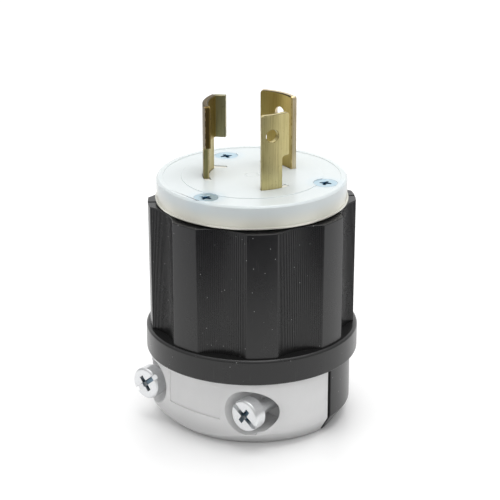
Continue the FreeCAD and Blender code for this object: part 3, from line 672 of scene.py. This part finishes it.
# %% Punch a blank
HOLE_HEIGHT = 92.05 * MM
HOLE_RADIUS = 1.9 * MM
TERMINAL_HEIGHT = 56.0 * MM
TERMINAL_RADIUS = 2.13 * MM
CORNER_RADIUS = 0.9 * MM
NOTCH_CORNER = 4


def blank_outline(base, lug, heel):
    """The outline's corners, as degrees across and a height up."""
    half = base / 2
    tail = half + TAIL_MARGIN
    outline = [(-tail, TAIL_BOTTOM), (tail, TAIL_BOTTOM), (tail, TAIL_TOP), (half, TAIL_TOP),
               (half, BLADE_NOTCH), (half + lug, BLADE_NOTCH), (half + lug, BLADE_TIP),
               (-half - heel, BLADE_TIP)]
    if heel:
        outline += [(-half - heel, BLADE_NOTCH), (-half, BLADE_NOTCH)]
    return outline + [(-half, TAIL_TOP), (-tail, TAIL_TOP)]


def punch(base, lug, heel, hole, **rest):
    """The flat blank, with its holes, lying in the XZ plane."""
    blank = bmesh.new()
    ring = [blank.verts.new((along(across), 0, height))
            for across, height in blank_outline(base, lug, heel)]
    blank.faces.new(ring)
    rounded = [vert for vert in ring if at_tip(vert.co)] + [ring[NOTCH_CORNER]]
    bmesh.ops.bevel(blank, geom=rounded, offset=CORNER_RADIUS, segments=4, profile=0.5,
                    affect="VERTICES", material=-1)
    bmesh.ops.delete(blank, geom=blank.faces[:], context="FACES_ONLY")
    for across, height, radius in ((hole, HOLE_HEIGHT, HOLE_RADIUS),
                                   (0, TERMINAL_HEIGHT, TERMINAL_RADIUS)):
        centre = Matrix.Translation((along(across), 0, height)) @ Matrix.Rotation(
            math.pi / 2, 4, "X")
        bmesh.ops.create_circle(blank, cap_ends=False, radius=radius, segments=32,
                                matrix=centre)
    bmesh.ops.triangle_fill(blank, use_beauty=True, use_dissolve=False, edges=blank.edges[:])
    bmesh.ops.dissolve_limit(blank, angle_limit=0.01, verts=blank.verts, edges=blank.edges)
    return blank


blanks = {name: punch(**shape) for name, shape in BLADES.items()}
print("blanks:", {name: len(blank.verts) for name, blank in blanks.items()}, "vertices")

# %% [markdown]
# The sheet gets its thickness next, by an extrusion. Then the tip's two long edges are coined,
# which is a broad flat bevel, and every other edge is eased by a small round one. Both mark their
# faces for the brass.

# %% Thicken and coin
COINING = 0.38 * MM
BLADE_EASING = 0.13 * MM


def thicken(blank):
    """The sheet gets its thickness, with the strip's middle on the XZ plane."""
    top = bmesh.ops.extrude_face_region(blank, geom=blank.faces[:])
    moved = [part for part in top["geom"] if isinstance(part, bmesh.types.BMVert)]
    bmesh.ops.translate(blank, verts=moved, vec=(0, BLADE_SHEET, 0))
    bmesh.ops.translate(blank, verts=blank.verts, vec=(0, -BLADE_SHEET / 2, 0))
    bmesh.ops.recalc_face_normals(blank, faces=blank.faces[:])


def coin(blank):
    """The tip's two long edges are coined broadly, and every other edge is eased."""
    bevel(blank, corners(blank, 60, at_tip), COINING, 1, "coined")
    round_edges(blank, corners(blank, 60), BLADE_EASING)


for name, blank in blanks.items():
    thicken(blank)
    coin(blank)
    print(f"{name}: {len(blank.faces)} faces")

# %% [markdown]
# A flat face can't bend, so the blank is first cut into narrow strips, two degrees wide. Each of
# its vertices then turns its distance along the strip into an angle about the plug's axis.

# %% Roll the blanks
STRIP_TURN = 2.0


def roll(blank, turn):
    """Cuts the blank into narrow strips and bends it round the plug's axis."""
    reach = max(abs(vert.co.x) for vert in blank.verts)
    step = along(STRIP_TURN)
    last = int(reach / step)
    for k in range(-last, last + 1):
        bmesh.ops.bisect_plane(blank, geom=blank.verts[:] + blank.edges[:] + blank.faces[:],
                               dist=0.001 * MM, plane_co=(k * step, 0, 0), plane_no=(1, 0, 0))
    for vert in blank.verts:
        angle = math.radians(turn) + vert.co.x / BLADE_MIDDLE
        radius = BLADE_MIDDLE + vert.co.y
        vert.co = (radius * math.cos(angle), radius * math.sin(angle), vert.co.z)
    bmesh.ops.recalc_face_normals(blank, faces=blank.faces[:])


for name, blank in blanks.items():
    roll(blank, BLADES[name]["turn"])
    print(f"{name}: {len(blank.faces)} faces in strips")

# %% [markdown]
# The ground blade differs: its heel is bent in towards the middle as a foot. The foot is a block of
# the same sheet, set at the heel's end and turned 26 degrees from straight inwards. It joins the
# same mesh as a closed shell of its own, which overlaps the blade's.

# %% The ground blade's foot
FOOT_LENGTH = 3.55 * MM
FOOT_TURN = math.radians(26.0)


def bend_foot(blank, turn, base, heel, **rest):
    """The foot at the ground blade's heel, bent in towards the plug's axis."""
    thickness_turn = math.degrees(BLADE_SHEET / 2 / BLADE_MIDDLE)
    heel_turn = math.radians(turn - base / 2 - heel + thickness_turn)
    towards = heel_turn + FOOT_TURN
    foot = bmesh.ops.create_cube(blank, size=1.0)["verts"]
    size = (FOOT_LENGTH, BLADE_SHEET, BLADE_TIP - BLADE_NOTCH)
    bmesh.ops.scale(blank, verts=foot, vec=size)
    edges = list({edge for vert in foot for edge in vert.link_edges})
    round_edges(blank, edges, BLADE_EASING)
    foot = [vert for vert in blank.verts if vert.co.xy.length < FOOT_LENGTH]
    patina = blank.faces.layers.float.new("patina")
    for face in {face for vert in foot for face in vert.link_faces}:
        face[patina] = 1.0
    start = Vector((BLADE_MIDDLE * math.cos(heel_turn), BLADE_MIDDLE * math.sin(heel_turn), 0))
    inward = Vector((math.cos(towards), math.sin(towards), 0))
    centre = start - inward * FOOT_LENGTH / 2 + Vector((0, 0, (BLADE_TIP + BLADE_NOTCH) / 2))
    placed = Matrix.Translation(centre) @ Matrix.Rotation(towards, 4, "Z")
    bmesh.ops.transform(blank, matrix=placed, verts=foot)


bend_foot(blanks["ground"], **BLADES["ground"])
for name, blank in blanks.items():
    finish_piece(f"{name}_blade_strip", blank, "blade_brass", nodes=[f"{name}_blade"],
                 finish=f"{name}_brass")

# %% [markdown]
# A machine screw's thread is a groove that climbs by one pitch a turn. One profile of a single
# pitch is spun about the shank while it climbs: each turn's end lies on the next one's start, so
# the doubles merge into one long thread. It is cut to length afterwards, and its ends are filled.

# %% Thread
PITCH = 0.79 * MM
SHANK = 2.08 * MM
ROOT = 1.55 * MM
SCREW_LENGTH = 31.75 * MM
STEPS = 28


def cut_and_close(bm, spot, outwards):
    """Cuts off what lies past a plane, and fills the hole."""
    geometry = bm.verts[:] + bm.edges[:] + bm.faces[:]
    cut = bmesh.ops.bisect_plane(bm, geom=geometry, dist=0.0001 * MM, plane_co=spot,
                                 plane_no=outwards, clear_outer=True)
    loop = [part for part in cut["geom_cut"] if isinstance(part, bmesh.types.BMEdge)]
    bmesh.ops.holes_fill(bm, edges=loop, sides=0)


def thread():
    """A threaded shank that hangs down from the origin."""
    bm = bmesh.new()
    profile = [(ROOT, 0.0), (SHANK, 0.44), (SHANK, 0.56), (ROOT, 1.0)]
    spots = [bm.verts.new((radius, 0, part * PITCH)) for radius, part in profile]
    line = [bm.edges.new(pair) for pair in zip(spots, spots[1:])]
    turns = int(SCREW_LENGTH / PITCH) + 2
    bmesh.ops.spin(bm, geom=spots + line, cent=(0, 0, 0), axis=(0, 0, 1),
                   dvec=(0, 0, PITCH / STEPS), angle=turns * math.tau, steps=turns * STEPS,
                   use_merge=False)
    bmesh.ops.remove_doubles(bm, verts=bm.verts, dist=0.004 * MM)
    bmesh.ops.translate(bm, verts=bm.verts, vec=(0, 0, -SCREW_LENGTH - PITCH))
    cut_and_close(bm, (0, 0, 0), (0, 0, 1))
    cut_and_close(bm, (0, 0, -SCREW_LENGTH), (0, 0, -1))
    bmesh.ops.recalc_face_normals(bm, faces=bm.faces[:])
    return bm


print("a thread has", int(SCREW_LENGTH / PITCH), "turns")

# %% [markdown]
# The heads, with their slots and cross recesses, are the CAD nodes' own, cut off a hair before the
# shank. Their edges are eased, except at the back. Head and thread then become one piece.

# %% Clamp screws
HEAD_HEIGHT = 4.0 * MM
HEAD_GAP = 0.02 * MM
BACK_BAND = 0.5 * MM


def screw_head(node, back):
    """The CAD screw's head, closed behind, with its edges eased except at the back."""
    bm = cad_copy(node)
    cut_and_close(bm, (0, back - HEAD_GAP, 0), (0, 1, 0))
    front = corners(bm, wanted=lambda spot: spot.y < back - BACK_BAND)
    round_edges(bm, front, 0.12 * MM)
    return bm


def clamp_screw(name):
    node = f"{name}_clamp_screw"
    back = head_front(name) + HEAD_HEIGHT
    whole = thread()
    placed = Matrix.Translation(on_clamp_axis(name, back)) @ Matrix.Rotation(math.pi / 2, 4, "X")
    bmesh.ops.transform(whole, matrix=placed, verts=whole.verts)
    head = screw_head(node, back)
    joined = bpy.data.meshes.new("head")
    head.to_mesh(joined)
    head.free()
    whole.from_mesh(joined)
    finish_piece(f"{name}_screw_threaded", whole, "zinc_steel", nodes=[node])


for name in CLAMP_SCREWS:
    clamp_screw(name)

# %% [markdown]
# The three screws in the face are sunk flush, and only the tops of their heads show. So each is a
# copy of its node with the edges at its top eased, in the bluish plating.

# %% Face screws
HEAD_REACH = 3 * MM
TOP_BAND = 0.4 * MM


def face_screw(node, top):
    def at_head(spot):
        return spot.z > top.z - TOP_BAND and (spot - top).xy.length < HEAD_REACH

    screw = cad_copy(node)
    round_edges(screw, corners(screw, wanted=at_head), 0.1 * MM)
    finish_piece(f"{node}_eased", screw, "zinc_steel", nodes=[node], finish="face_screw")


for node, top in zip(FACE_SCREWS, SCREW_TOPS):
    face_screw(node, top)

# %% [markdown]
# The photograph's background is pure white, but the plug must not be lit harder for that. The
# floor is a pale matt sheet that is lit as the plug is, so it keeps the soft shadows, and it adds
# a little light of its own only to what the camera, a reflection or a see-through piece sees.

# %% Floor
FLOOR_HALF = 3.0
FLOOR_GLOW = 0.06


def add_sheet(name, half, place, finish, hidden_from=()):
    """A flat sheet of the studio, which some kinds of ray pass by."""
    bm = bmesh.new()
    bmesh.ops.create_grid(bm, x_segments=1, y_segments=1, size=1.0)
    bmesh.ops.scale(bm, verts=bm.verts, vec=(*half, 1))
    bmesh.ops.transform(bm, verts=bm.verts, matrix=place)
    sheet = new_object(name, bm)
    sheet.data.materials.append(finish.material)
    for ray in hidden_from:
        setattr(sheet, f"visible_{ray}", False)
    print(f"{name}: {2 * half[0]:.1f} by {2 * half[1]:.1f} m")


def floor_finish():
    finish = Finish("floor", Base_Color=(0.95, 0.95, 0.95, 1), Roughness=0.35,
                    Emission_Color=(1, 1, 1, 1))
    seen = finish.node("LightPath", output="Is Camera Ray")
    mirrored = finish.node("LightPath", output="Is Glossy Ray")
    through = finish.node("LightPath", output="Is Transmission Ray")
    finish.feed("Emission Strength", (seen + mirrored + through) * FLOOR_GLOW)
    return finish


add_sheet("floor", (FLOOR_HALF, FLOOR_HALF), Matrix(), floor_finish())

# %% [markdown]
# The studio is brighter above than round about, which gives metal something to reflect: a world
# of one even white makes every facet of a screw look the same. Where the camera looks past the
# floor it sees plain white. One large lamp overhead gives the soft shadow under the plug.

# %% World and lamp
LIGHT_ABOVE = 0.78
LIGHT_AROUND = 0.32
FULL_RISE = 0.8
LAMP_SIZE = 0.8
LAMP_POWER = 6.0
LAMP_PLACE = Vector((0, 0.1, 0.9))
LAMP_TARGET = Vector((0, 0, 0.05))


def make_world():
    world = bpy.data.worlds.new("studio")
    bpy.context.scene.world = world
    world.use_nodes = True
    nodes = world.node_tree.nodes
    links = world.node_tree.links
    towards = nodes.new("ShaderNodeTexCoord")
    parts = nodes.new("ShaderNodeSeparateXYZ")
    rise = nodes.new("ShaderNodeMapRange")
    rise.inputs["From Max"].default_value = FULL_RISE
    rise.inputs["To Min"].default_value = LIGHT_AROUND
    rise.inputs["To Max"].default_value = LIGHT_ABOVE
    path = nodes.new("ShaderNodeLightPath")
    seen = nodes.new("ShaderNodeMix")
    seen.inputs[3].default_value = 1.0
    links.new(towards.outputs["Generated"], parts.inputs[0])
    links.new(parts.outputs["Z"], rise.inputs["Value"])
    links.new(path.outputs["Is Camera Ray"], seen.inputs[0])
    links.new(rise.outputs[0], seen.inputs[2])
    nodes["Background"].inputs["Color"].default_value = (1, 1, 1, 1)
    links.new(seen.outputs[0], nodes["Background"].inputs["Strength"])


def add_lamp():
    lamp = bpy.data.lights.new("top_box", "AREA")
    lamp.shape = "RECTANGLE"
    lamp.size = lamp.size_y = LAMP_SIZE
    lamp.energy = LAMP_POWER
    thing = bpy.data.objects.new("top_box", lamp)
    thing.location = LAMP_PLACE
    thing.rotation_euler = (LAMP_TARGET - LAMP_PLACE).to_track_quat("-Z", "Y").to_euler()
    bpy.context.scene.collection.objects.link(thing)
    return thing


make_world()
print("a lamp at", tuple(round(x, 2) for x in add_lamp().location))

# %% [markdown]
# Two more sheets are there for what they look like in a reflection, as in a real studio. A white
# backdrop stands behind the plug: it brightens the screws' flat heads and the barrel's outline,
# and gives no diffuse light. A dark card lies on the floor in front, where only reflections show
# it: it deepens the black of the barrel's upper half.

# %% Backdrop and dark card
BACKDROP_HALF = (1.5, 0.8)
BACKDROP_AWAY = 1.4
CARD_HALF = (0.45, 0.25)
CARD_AWAY = 0.4
CARD_LIFT = 2 * MM

facing = Matrix.Rotation(VIEW_TURN, 4, "Z")
upright = (facing @ Matrix.Translation((0, BACKDROP_AWAY, BACKDROP_HALF[1]))
           @ Matrix.Rotation(math.pi / 2, 4, "X"))
glowing = Finish("backdrop", Base_Color=(0, 0, 0, 1), Roughness=1.0,
                 Emission_Color=(1, 1, 1, 1), Emission_Strength=1.0)
add_sheet("backdrop", BACKDROP_HALF, upright, glowing,
          hidden_from=("diffuse", "shadow", "volume_scatter"))
in_front = facing @ Matrix.Translation((0, -CARD_AWAY, CARD_LIFT))
dark = Finish("dark_card", Base_Color=(0.02, 0.02, 0.02, 1))
add_sheet("dark_card", CARD_HALF, in_front, dark,
          hidden_from=("camera", "diffuse", "transmission", "volume_scatter", "shadow"))

# %% [markdown]
# The colours are shown as they are, with no film curve over them, so that white stays white.

# %% Colours as they are
bpy.context.scene.view_settings.view_transform = "Standard"
